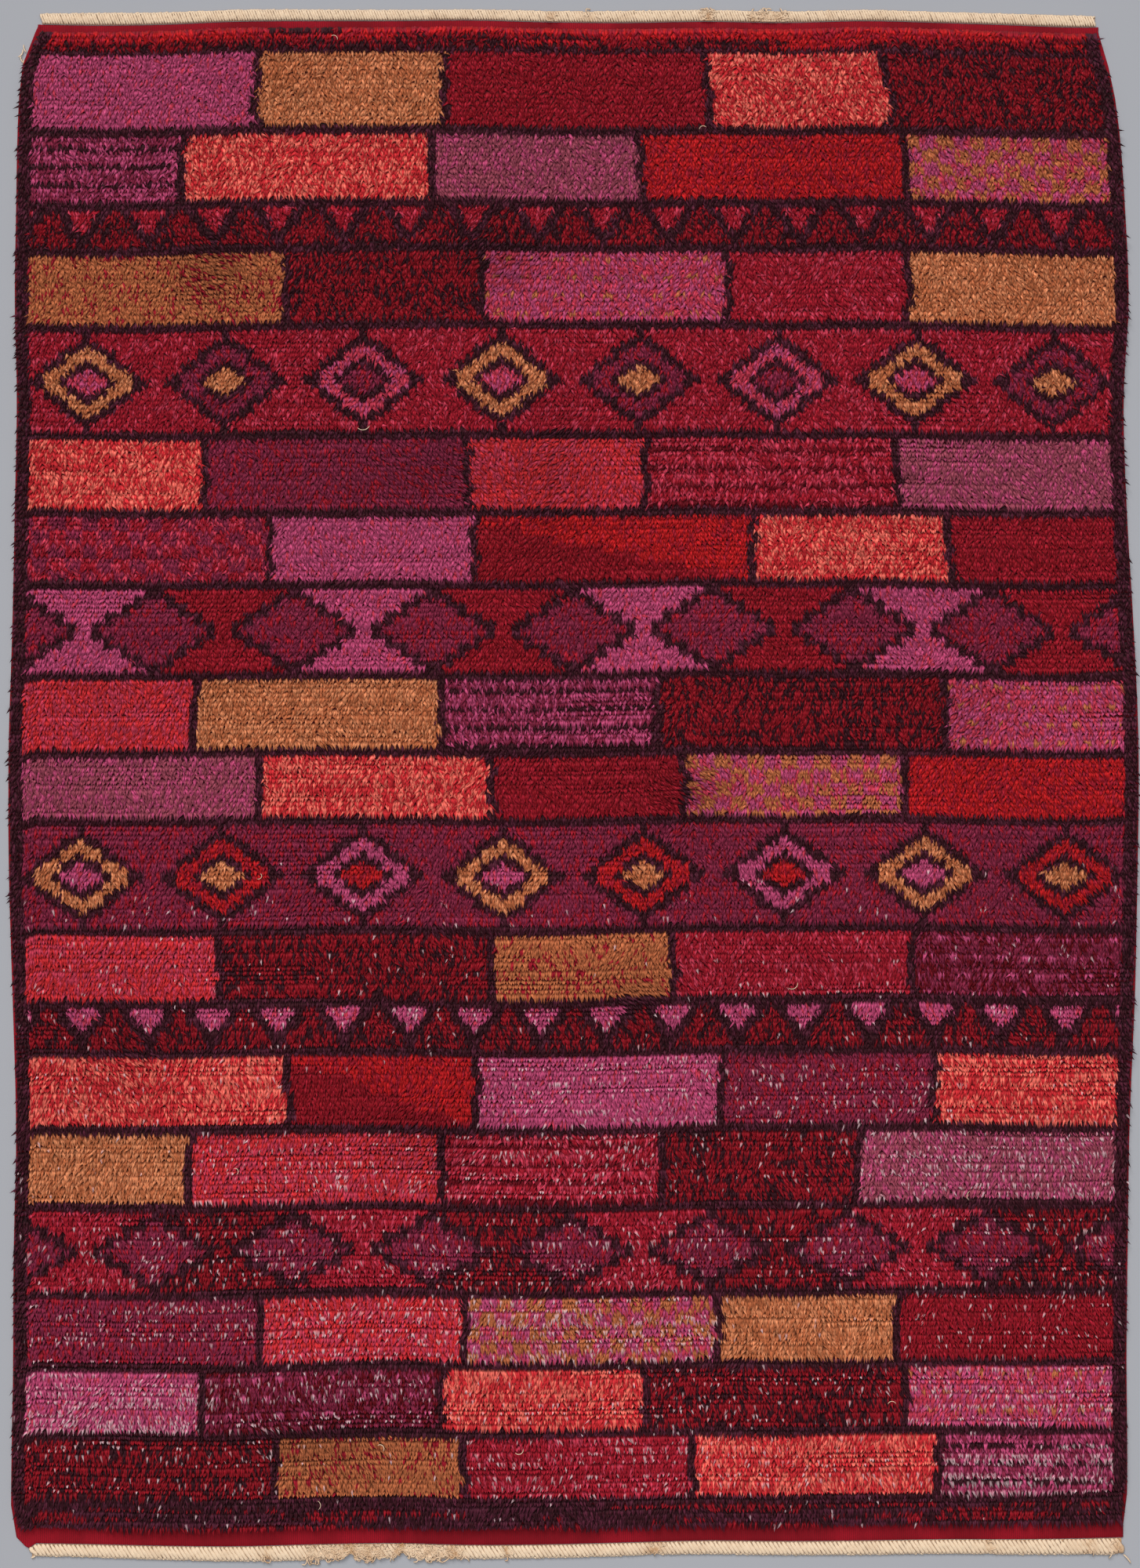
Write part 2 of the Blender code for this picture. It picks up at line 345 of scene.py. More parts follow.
Fill = namedtuple("Fill", "yarn fleck share motif accent")
FILLS = {
    "line": Fill("aubergine", "dusk", 0.34, "plain", "aubergine"),
    "magenta": Fill("magenta", "rose", 0.12, "plain", "magenta"),
    "mauve": Fill("mauve", "magenta", 0.35, "plain", "mauve"),
    "camel": Fill("ochre", "camel", 0.45, "plain", "ochre"),
    "tan": Fill("ochre", "crimson", 0.16, "plain", "ochre"),
    "coral": Fill("poppy", "coral", 0.42, "plain", "coral"),
    "scarlet": Fill("scarlet", "crimson", 0.40, "plain", "scarlet"),
    "brick": Fill("poppy", "rose", 0.45, "plain", "poppy"),
    "crimson": Fill("crimson", "rose", 0.20, "plain", "crimson"),
    "rose": Fill("rose", "magenta", 0.40, "plain", "rose"),
    "garnet": Fill("garnet", "crimson", 0.40, "plain", "garnet"),
    "melange": Fill("garnet", "aubergine", 0.50, "plain", "garnet"),
    "dusk": Fill("dusk", "aubergine", 0.45, "plain", "dusk"),
    "night": Fill("garnet", "aubergine", 0.36, "plain", "wine"),
    "plum": Fill("plum", "crimson", 0.25, "plain", "plum"),
    "pins": Fill("crimson", "rose", 0.40, "pins", "wine"),
    "plum_pins": Fill("plum", "magenta", 0.45, "pins", "aubergine"),
    "checks": Fill("magenta", "rose", 0.30, "checks", "ochre"),
    "night_checks": Fill("crimson", "rose", 0.30, "checks", "plum"),
    "seeds": Fill("rose", "magenta", 0.50, "seeds", "ochre"),
    "dark_seeds": Fill("plum", "wine", 0.40, "seeds", "magenta"),
    "steps": Fill("scarlet", "crimson", 0.30, "steps", "garnet"),
}
FILL_NAMES = list(FILLS)

Course = namedtuple("Course", "rows kind widths fills")
COURSES = (
    Course(18, "blocks", "58 47 66 45 56", "magenta camel garnet coral night"),
    Course(16, "blocks", "40 62 51 66 53", "plum_pins coral mauve scarlet checks"),
    Course(10, "teeth", "", "crimson night"),
    Course(17, "blocks", "66 48 60 44 54", "tan night seeds crimson camel"),
    Course(24, "lozenges", "", "crimson rose camel plum"),
    Course(17, "blocks", "46 64 44 62 56", "coral plum brick pins mauve"),
    Course(16, "blocks", "62 50 68 48 44", "night_checks magenta steps coral garnet"),
    Course(20, "hourglasses", "", "garnet magenta"),
    Course(17, "blocks", "44 60 52 70 46", "brick camel plum_pins night seeds"),
    Course(15, "blocks", "60 56 46 54 56", "mauve coral garnet checks scarlet"),
    Course(24, "lozenges", "", "plum magenta camel scarlet"),
    Course(16, "blocks", "50 66 44 58 54", "brick night tan crimson dark_seeds"),
    Course(11, "teeth", "", "magenta night"),
    Course(17, "blocks", "66 46 60 52 48", "coral steps magenta plum coral"),
    Course(17, "blocks", "42 62 54 48 66", "camel brick pins night mauve"),
    Course(19, "hourglasses", "", "night crimson"),
    Course(16, "blocks", "60 50 62 44 56", "plum brick checks camel garnet"),
    Course(15, "blocks", "46 58 50 64 54", "magenta dark_seeds coral night seeds"),
    Course(15, "blocks", "64 46 56 60 46", "night tan crimson coral plum_pins"),
)


def motif_knots(motif, rows, columns):
    """Which knots of a block take its accent yarn."""
    row, column = np.indices((rows, columns))
    if motif == "pins":
        return row % 4 == 2
    if motif == "checks":
        return (row // 3 + column // 4) % 2 == 0
    if motif == "seeds":
        return (row % 4 == 1) & ((column + 3 * (row // 4 % 2)) % 6 < 2)
    if motif == "steps":
        return (column // 4) * 4 / columns < (row // 2) * 2 / rows
    return np.zeros((rows, columns), bool)


def fill_number(name):
    """Where a fill stands in the table."""
    return FILL_NAMES.index(name)


def paint(fill, accent, name, where=None):
    """Gives the knots of an area, or those of it that are marked, one fill and its motif."""
    where = np.ones(fill.shape, bool) if where is None else where
    fill[where] = fill_number(name)
    accent[where] = motif_knots(FILLS[name].motif, *fill.shape)[where]


def drawn_round(inside):
    """The knots just outside a shape: a line of one row and two columns."""
    padded = np.pad(inside, ((1, 1), (2, 2)))
    around = np.zeros(inside.shape, bool)
    rows, columns = inside.shape
    for up in (0, 1, 2):
        for along in range(5):
            around |= padded[up : up + rows, along : along + columns]
    return around & ~inside


def paint_blocks(course, fill, accent):
    """Unlike blocks side by side, with an upright line between them that strays by a knot."""
    start = 0
    for width, name in zip(map(int, course.widths.split()), course.fills.split()):
        paint(fill[:, start : start + width], accent[:, start : start + width], name)
        start += width
    start = 0
    for width in list(map(int, course.widths.split()))[:-1]:
        start += width
        stray = np.repeat(chance.choice((0, 0, 0, 1), size=len(fill) // 2 + 1), 2)[: len(fill)]
        for row, shift in enumerate(stray):
            first = start + shift - 1
            line = slice(first, first + LINE_COLUMNS)
            paint(fill[row : row + 1, line], accent[row : row + 1, line], "line")


def paint_lozenges(course, fill, accent):
    """Stepped lozenges in a row, each a core and a ring of unlike wools on a red ground."""
    ground, *cores = course.fills.split()
    wide = COLUMNS // LOZENGES
    row, column = np.indices(fill.shape)
    paint(fill, accent, ground)
    middle = (len(fill) - 1) / 2
    which = column // wide
    out = abs((column % wide) // 2 * 2 + 1 - wide / 2) / (wide / 2) + abs(row - middle) / (middle + 1)
    for lozenge in range(COLUMNS // wide):
        core = cores[lozenge % len(cores)]
        ring = cores[(lozenge + 1) % len(cores)]
        own = which == lozenge
        paint(fill, accent, "line", own & (out < 0.92))
        paint(fill, accent, ring, own & (out < 0.72))
        paint(fill, accent, "line", own & (out < 0.46))
        paint(fill, accent, core, own & (out < 0.28))


def paint_teeth(course, fill, accent):
    """A row of saw teeth in one wool standing on another, drawn round."""
    ground, tooth = course.fills.split()
    wide = COLUMNS // TEETH
    row, column = np.indices(fill.shape)
    teeth = abs(column % wide - (wide - 1) / 2) / (wide / 2) < (row + 1) / (len(fill) + 1)
    paint(fill, accent, ground)
    paint(fill, accent, "line", drawn_round(teeth))
    paint(fill, accent, tooth, teeth)


def paint_hourglasses(course, fill, accent):
    """Hourglasses side by side, two wools in turn, on the dark ground."""
    first, second = course.fills.split()
    wide = COLUMNS // HOURGLASSES
    row, column = np.indices(fill.shape)
    middle = (len(fill) - 1) / 2
    waist = abs(row - middle) // 2 * 2 / middle * 0.86 + 0.1
    glass = abs(column % wide - (wide - 1) / 2) / (wide / 2) < waist
    odd = column // wide % 2 == 1
    paint(fill, accent, "plum")
    paint(fill, accent, "line", drawn_round(glass))
    paint(fill, accent, first, glass & odd)
    paint(fill, accent, second, glass & ~odd)


PAINTERS = {
    "blocks": paint_blocks,
    "lozenges": paint_lozenges,
    "teeth": paint_teeth,
    "hourglasses": paint_hourglasses,
}
chance = np.random.default_rng(41)


def knot_design():
    """The fill of each knot, from the far row to the near one, and whether it takes the accent yarn."""
    fill = np.full((ROWS, COLUMNS), fill_number("line"))
    accent = np.zeros((ROWS, COLUMNS), bool)
    far = fill[: len(SCARLET_FROM)], accent[: len(SCARLET_FROM)]
    paint(*far, "melange")
    reds = streaks(len(SCARLET_FROM), COLUMNS, 34) > np.array(SCARLET_FROM)[:, None]
    paint(*far, "scarlet", reds)
    near = fill[-NEAR_STRIP:], accent[-NEAR_STRIP:]
    paint(*near, "dusk")
    paint(*near, "melange", streaks(NEAR_STRIP, COLUMNS, 26) > 0.62)
    top = FAR_STRIP
    for course in COURSES:
        stop = top + course.rows - LINE_ROWS
        PAINTERS[course.kind](course, fill[top:stop], accent[top:stop])
        top += course.rows
    for side in (slice(None, SIDE_STRIP), slice(-SIDE_STRIP, None)):
        paint(fill[:, side], accent[:, side], "line")
    return fill, accent


def streaks(rows, columns, run):
    """Unevenness from 0 to 1 in runs along each row, as where one dye lot follows another."""
    places = np.arange(columns) / run
    knots = chance.random((rows, int(places[-1]) + 2))
    low = places.astype(int)
    part = places - low
    part = part * part * (3 - 2 * part)
    return knots[:, low] * (1 - part) + knots[:, low + 1] * part


def slow_waves(x, y, size, seed):
    """Smooth unevenness of about -1 to 1 over the cloth, with lumps of about the given size."""
    turns = np.random.default_rng(seed)
    total = np.zeros(np.shape(x))
    for _ in range(6):
        direction = turns.uniform(0, math.tau)
        pace = turns.uniform(0.7, 1.5) * math.tau / size
        start = turns.uniform(0, math.tau)
        total += np.sin((x * math.cos(direction) + y * math.sin(direction)) * pace + start)
    return total / math.sqrt(12)


def knot_colours():
    """The colour of each strand and how strongly its tip is painted with a glint, by row, column and strand
    of the knot.
    """
    STREAK, SHADE_SPREAD, ROW_SPREAD, LOT_SPREAD = 0.5, 0.09, 0.03, 0.05
    fill, accent = knot_design()
    wools = np.array([linear(colour) for colour in YARNS.values()])
    table = list(FILLS.values())
    yarn = np.array([YARN_NAMES.index(row.yarn) for row in table])[fill]
    fleck = np.array([YARN_NAMES.index(row.fleck) for row in table])[fill]
    share = np.array([row.share for row in table])[fill]
    marked = np.array([YARN_NAMES.index(row.accent) for row in table])[fill]
    yarn = np.where(accent, marked, yarn)
    share = share * (1 - 0.5 * accent) * (1 + 2 * STREAK * (streaks(ROWS, COLUMNS, 17) - 0.5))
    nearness = np.clip(np.linspace(-1.2, 1, ROWS), 0, 1)[:, None]
    # Painted highlights: glints painted on strand tips, most at the near end and in runs along the rows
    worn = np.array([GLINT_BY_FILL.get(name, SELDOM_GLINT) for name in FILL_NAMES])[fill]
    worn = worn * nearness * np.clip(2.4 * streaks(ROWS, COLUMNS, 40) - 0.6, 0, 1)
    row, column = np.indices(fill.shape)
    lots = slow_waves(column / COLUMNS * CLOTH_SIZE[0], row / ROWS * CLOTH_SIZE[1], 0.5, 23)
    by_row = 1 + ROW_SPREAD * chance.standard_normal((ROWS, 1)) + LOT_SPREAD * lots
    strands = []
    for _ in range(2):
        picked = np.where(chance.random(fill.shape) < share, fleck, yarn)
        shade = by_row * np.exp(SHADE_SPREAD * chance.standard_normal(fill.shape))
        glint_amount = (chance.random(fill.shape) < GLINT_SHARE * worn) * chance.uniform(0.4, 1.0, fill.shape)
        strands.append(np.concatenate([wools[picked] * shade[..., None], glint_amount[..., None]], axis=-1))
    return np.stack(strands, axis=2)


# The pile: soft, lustrous wool knotted round the warps row by row, two cut strands to each knot.
# The strands lean to the near end like thatch, so that every row covers the foot of the next.
# Wear has combed them flat at the near end, where rows part, and left them ruffled at the far one.
PIECES = 5
STRAND_ROOT = 2.4 * MM
STRAND_FOOT = 6.4 * MM
STRAND_TIP = 10.2 * MM
STRAND_REACH = 14.0 * MM
STRAND_WIDTH = 6.6 * MM
STRAND_SPREAD = 1.6 * MM
STRAND_BACK = 3.0 * MM
BACK_DROP = 0.9 * MM
ROW_WAVE = 2.4 * MM
LOOSE_ROWS = 12
LOOSE_COLUMNS = 2.5
# Where the painted light and shade of the near end's rows begins and where it is full, in metres up the rug
COMBED_FROM, COMBED_TO = 0.3, -0.9
STRAND_FACES = ((1, 2, 3), (2, 1, 0), (3, 2, 0), (1, 3, 0))
STRAND_ACROSS = (0.0, -1.0, 1.0, 0.0)
STRAND_ALONG = (0.0, 0.4, 0.4, 1.0)

# Where the corners of each face lie in the strand's own cell of the bake map
STRAND_MAP = (
    ((0.06, 0.10), (0.94, 0.10), (0.5, 0.96)),
    ((0.94, 0.08), (0.06, 0.08), (0.5, 0.02)),
    ((0.56, 0.96), (0.96, 0.16), (0.96, 0.96)),
    ((0.04, 0.16), (0.44, 0.96), (0.04, 0.96)),
)

# Places where the pile is rubbed or pressed another way, in mm from the middle of the rug, each turning the
# strands and darkened with painted shade
Pressed = namedtuple("Pressed", "x y wide long turn dark")
PRESSED = (
    Pressed(-557, 800, 60, 70, 0.9, 0.30),
    Pressed(-110, 812, 50, 40, -0.8, 0.35),
    Pressed(-205, 487, 130, 60, 0.7, 0.25),
    Pressed(-30, 490, 60, 110, -0.7, 0.22),
    Pressed(170, -10, 60, 40, 0.8, 0.30),
    Pressed(-210, -560, 90, 60, -0.6, 0.25),
    Pressed(-400, -1010, 120, 50, 0.5, 0.30),
    Pressed(90, -330, 60, 40, 0.6, 0.25),
    Pressed(600, 100, 60, 80, -0.6, 0.18),
    Pressed(-700, -420, 80, 80, 0.6, 0.15),
)


def make_pile(first_row, last_row, name):
    """The strands of a run of rows as one mesh, with a cell of the map for each."""
    row, column, leg = (grid.ravel() for grid in np.mgrid[first_row:last_row, 0:COLUMNS, 0:2])
    count = len(row)
    x, y = on_cloth(
        (column + 0.5) / COLUMNS,
        1 - (row + 0.5) / ROWS,
        SELVEDGE - 0.5 * MM,
        NEAR_BAND + 0.6 * STRAND_REACH,
        FAR_BAND - 1.0 * MM,
    )
    ruffled = np.clip(0.5 + 0.3 * y + 0.22 * slow_waves(x, y, 0.35, 3), 0.08, 1)
    turn = 0.3 * slow_waves(x, y, 0.12, 5) + chance.normal(0, 1, count) * (0.16 + 0.3 * ruffled)
    dark = np.zeros(count)
    for press in PRESSED:
        away = ((x / MM - press.x) / press.wide) ** 2 + ((y / MM - press.y) / press.long) ** 2
        weight = np.exp(-away)
        turn += press.turn * weight
        # Painted shade: the strands of a pressed place are darkened in colour, for the shade of pile
        # leaning another way
        dark += press.dark * weight
    by_left = np.clip(1 - column / LOOSE_COLUMNS, 0, 1)
    by_right = np.clip(1 - (COLUMNS - 1 - column) / LOOSE_COLUMNS, 0, 1)
    outward = by_left - by_right
    turn -= outward * chance.uniform(0.0, 0.55, count)
    inside = np.clip(np.minimum(row, ROWS - 1 - row) / LOOSE_ROWS, 0, 1)
    y = y + inside * ROW_WAVE * slow_waves(x, y, 0.7, 11)
    x = x + (2 * leg - 1) * STRAND_SPREAD + chance.normal(0, 0.3 * MM, count)
    y = y + chance.normal(0, 0.6 * MM, count)
    rise = 0.4 * MM * slow_waves(x, y, 0.5, 7)
    parted = np.repeat(streaks(last_row - first_row, COLUMNS, 30).ravel(), 2)
    parted = np.clip(parted * 2.2 - 0.7, 0, 1) * np.clip(1.5 - 1.7 * ruffled, 0, 1)
    reach = STRAND_REACH * (1 - 0.1 * ruffled - 0.5 * parted) * chance.normal(1, 0.1, count)
    half = STRAND_WIDTH / 2 * chance.normal(1, 0.1, count)
    foot = STRAND_FOOT - BACK_DROP + rise - 1.0 * MM * parted
    back = STRAND_BACK * (1 - 0.9 * parted)
    tip = STRAND_TIP + rise + chance.normal(0, 1, count) * (0.35 + 0.45 * ruffled) * MM
    roll = chance.normal(0, 0.5 * MM, count)
    lean = np.stack([np.sin(turn), -np.cos(turn)], axis=-1)
    right = np.stack([-np.cos(turn), -np.sin(turn)], axis=-1)

    def point(forward, sideways, up):
        """A corner of each strand, so far along its lean, beside it, and above its root."""
        flat = np.stack([x, y], axis=-1) + lean * forward[:, None] + right * sideways[:, None]
        return np.column_stack([flat, STRAND_ROOT + up])

    none = np.zeros(count)
    points = np.stack(
        [
            point(0.2 * reach, none, none),
            point(-back, -half, foot - roll),
            point(-back, half, foot + roll),
            point(reach, none, tip),
        ],
        axis=1,
    )
    faces = (np.arange(count) * 4)[:, None, None] + np.array(STRAND_FACES)
    mesh = bpy.data.meshes.new(name)
    mesh.from_pydata(points.reshape(-1, 3), [], faces.reshape(-1, 3))
    mesh.shade_smooth()
    cells = math.ceil(math.sqrt(count))
    cell = np.stack([np.arange(count) % cells, np.arange(count) // cells], axis=-1)
    places = (cell[:, None, None, :] + np.array(STRAND_MAP)) / cells
    mesh.uv_layers.new(name="OFBake").data.foreach_set("uv", places.astype(np.float32).ravel())
    # The strand's dye darkened by the pressed places' painted shade, with how strongly its tip takes a
    # painted glint in alpha
    dye_shade_and_glint = knot_wools[row, column, leg] * np.column_stack([1 - dark] * 3 + [1 + none])
    mark_points(mesh, "dye_shade_and_glint", "FLOAT_COLOR", "color", np.repeat(dye_shade_and_glint, 4, axis=0))
    own = chance.uniform(0, 200, count)
    across, along = np.tile(STRAND_ACROSS, count), np.tile(STRAND_ALONG, count)
    lay = np.column_stack([across, along, np.repeat(own, 4)])
    mark_points(mesh, "lay", "FLOAT_VECTOR", "vector", lay)
    piece = bpy.data.objects.new(name, mesh)
    bpy.context.scene.collection.objects.link(piece)
    return piece


def knotted_wool():
    """Lustrous pile wool: each strand in its own dye, finely haired, with painted shade toward the root,
    painted light and shade along the near end's rows, and painted glints on some tips.
    """
    material, tree, shader = new_material("knotted_wool")
    dye_shade_and_glint = node(tree, "ShaderNodeAttribute", attribute_name="dye_shade_and_glint").outputs
    lay = node(tree, "ShaderNodeAttribute", attribute_name="lay").outputs["Vector"]
    along = node(tree, "ShaderNodeSeparateXYZ", {0: lay}).outputs[1]
    place = node(tree, "ShaderNodeTexCoord").outputs["Object"]
    up_the_rug = node(tree, "ShaderNodeSeparateXYZ", {0: place}).outputs[1]
    hairs = noise(tree, lay, 1.0, 1.5, (1.1, 1.6, 1.0))
    # Painted shade: each strand darker toward its root, where the pile shades itself
    depth = ramp(tree, along, 0.1, 0.8, 0.6, 1.0)
    # Painted light and shade at the near end: each strand darker where it comes out from under the row
    # before and brighter at its tip
    combed = ramp(tree, up_the_rug, COMBED_FROM, COMBED_TO, 0.0, 1.0)
    near_rows_light_and_shade = sums(tree, "MULTIPLY", combed, ramp(tree, along, 0.54, 0.86, -0.5, 0.7))
    depth = sums(tree, "MULTIPLY", depth, sums(tree, "ADD", 1.0, near_rows_light_and_shade))
    fuzz = ramp(tree, hairs, 0.3, 0.7, 0.7, 1.34)
    shade = sums(tree, "MULTIPLY", depth, fuzz)
    grey = node(tree, "ShaderNodeCombineXYZ", {0: shade, 1: shade, 2: shade}).outputs[0]
    wool = mixed(tree, 1.0, dye_shade_and_glint["Color"], grey, "MULTIPLY")
    # Painted highlight: the glint is painted over the tip end of each strand that takes one
    worn = sums(tree, "MULTIPLY", dye_shade_and_glint["Alpha"], ramp(tree, along, 0.6, 0.8, 0.0, 1.0))
    tree.links.new(mixed(tree, worn, wool, rgba(GLINT_COLOUR)), shader.inputs["Base Color"])
    tree.links.new(ramp(tree, hairs, 0.3, 0.7, 0.4, 0.7), shader.inputs["Roughness"])
    tree.links.new(bumped(tree, hairs, 0.5 * MM, 0.5), shader.inputs["Normal"])
    shader.inputs["Specular IOR Level"].default_value = 0.12
    shader.inputs["Sheen Weight"].default_value = 0.02
    shader.inputs["Sheen Roughness"].default_value = 0.4
    return material


knot_wools = knot_colours()
pile_wool = knotted_wool()
for part in range(PIECES):
    rows_done, rows_next = ROWS * part // PIECES, ROWS * (part + 1) // PIECES
    strands = make_pile(rows_done, rows_next, f"pile_{part + 1}")
    strands.data.materials.append(pile_wool)
    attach(strands, "root")


# The plaited ends: the cream warp ends of the cloth, laid over each other on the slant into a flat braid
# and bound off by a twisted cord along the outer edge, so that the weft can't work loose.
Braid = namedtuple("Braid", "at far near")
BRAID_WIDTHS = (
    Braid(-850, 17, 20),
    Braid(-727, 20, 21),
    Braid(-400, 18, 25),
    Braid(-158, 17, 22),
    Braid(84, 19, 21),
    Braid(568, 17, 23),
    Braid(770, 19, 25),
    Braid(850, 16, 28),
)
BRAID_GAP = -0.4 * MM
BRAID_CROWN = 4.3 * MM
BRAID_FOOT = 1.3 * MM
BRAID_RISE = 1.6 * MM
BRAID_SIDES = 6
BRAID_STEPS = 8
BED_STEPS = 160
BED_LINES = ((0.0, 0.9 * MM), (0.3, 2.2 * MM), (0.7, 2.2 * MM), (1.0, 0.9 * MM))
CORD_HALF = 1.6 * MM
CORD_PITCH = 5.0 * MM
LOOSE_HALF = (1.1 * MM, 1.0 * MM)
LOOSE_STEPS = 7
LOOSE_SIDES = 5
LOOSE_OVER = 18 * MM
CREAM = (236, 212, 182)
# Painted shade on the sides of the plait strands and on the bed between them, also the darker cream that
# yellowing drifts to
CREAM_SHADE_AND_YELLOWING = (176, 136, 98)
CREAM_STAIN = (172, 124, 74)

# Where the plaits are worn, in mm: how wide, how brown, how much of the width is gone,
# and how many ends of warp stand loose there
Worn = namedtuple("Worn", "x wide brown gone ends")
FAR_PLACES = (
    Worn(-35, 10, 0.4, 0.05, 5),
    Worn(24, 12, 0.3, 0.05, 5),
    Worn(208, 9, 0.7, 0.0, 30),
    Worn(276, 6, 0.5, 0.0, 10),
    Worn(308, 20, 0.5, 0.0, 40),
)
NEAR_PLACES = (
    Worn(-472, 5, 0.9, 0.1, 4),
    Worn(-404, 10, 0.4, 0.0, 30),
    Worn(-366, 22, 0.5, 0.05, 60),
    Worn(-344, 8, 0.6, 0.35, 20),
    Worn(-315, 20, 0.5, 0.0, 70),
    Worn(-270, 9, 0.7, 0.15, 30),
    Worn(-262, 6, 0.5, 0.35, 12),
    Worn(-225, 26, 0.4, 0.0, 70),
    Worn(-182, 14, 0.7, 0.05, 24),
    Worn(-103, 5, 0.8, 0.1, 4),
    Worn(123, 14, 0.8, 0.1, 8),
    Worn(640, 6, 0.5, 0.05, 2),
    Worn(795, 10, 0.5, 0.05, 3),
    Worn(842, 10, 0.7, 0.1, 4),
)

# How each plait is laid: which widths it takes, how far apart and how thick its strands are,
# and how far they slant over the width of the braid
Laid = namedtuple("Laid", "widths pitch half slant worn")
FAR_LAID = Laid("far", 4.0 * MM, 2.25 * MM, 0.35, FAR_PLACES)
NEAR_LAID = Laid("near", 6.6 * MM, 3.6 * MM, -0.6, NEAR_PLACES)


def tubes(name, paths, half_widths, half_heights, sides):
    """Closed tubes as one mesh: paths holds the points of each tube, with a size for each point."""
    count, steps, _ = paths.shape
    ahead = np.gradient(paths, axis=1)
    flat = np.stack([-ahead[..., 1], ahead[..., 0], np.zeros((count, steps))], axis=-1)
    flat /= np.maximum(np.linalg.norm(flat, axis=-1, keepdims=True), 1e-9)
    rise = np.cross(ahead, flat)
    rise /= np.maximum(np.linalg.norm(rise, axis=-1, keepdims=True), 1e-9)
    turn = np.arange(sides) * math.tau / sides
    ring = (
        paths[:, :, None, :]
        + flat[:, :, None, :] * (np.cos(turn)[:, None] * half_widths[:, :, None, None])
        + rise[:, :, None, :] * (np.sin(turn)[:, None] * half_heights[:, :, None, None])
    )
    number = np.arange(count * steps * sides).reshape(count, steps, sides)
    after = np.roll(number, -1, axis=2)
    walls = np.stack([number[:, :-1], after[:, :-1], after[:, 1:], number[:, 1:]], axis=-1)
    walls = walls.reshape(-1, 4)
    caps = np.concatenate([number[:, 0, ::-1], number[:, -1]])
    mesh = bpy.data.meshes.new(name)
    mesh.from_pydata(ring.reshape(-1, 3).tolist(), [], walls.tolist() + caps.tolist())
    mesh.shade_smooth()
    # How high round the tube each point lies, which the material turns into painted shade low on the sides
    crown = np.broadcast_to((np.sin(turn) + 1) / 2, (count, steps, sides))
    mark_points(mesh, "crown", "FLOAT", "value", crown)
    piece = bpy.data.objects.new(name, mesh)
    bpy.context.scene.collection.objects.link(piece)
    return piece


def joined(name, *parts):
    """Several objects made one."""
    with bpy.context.temp_override(active_object=parts[0], selected_editable_objects=list(parts)):
        bpy.ops.object.join()
    parts[0].name = name
    return parts[0]


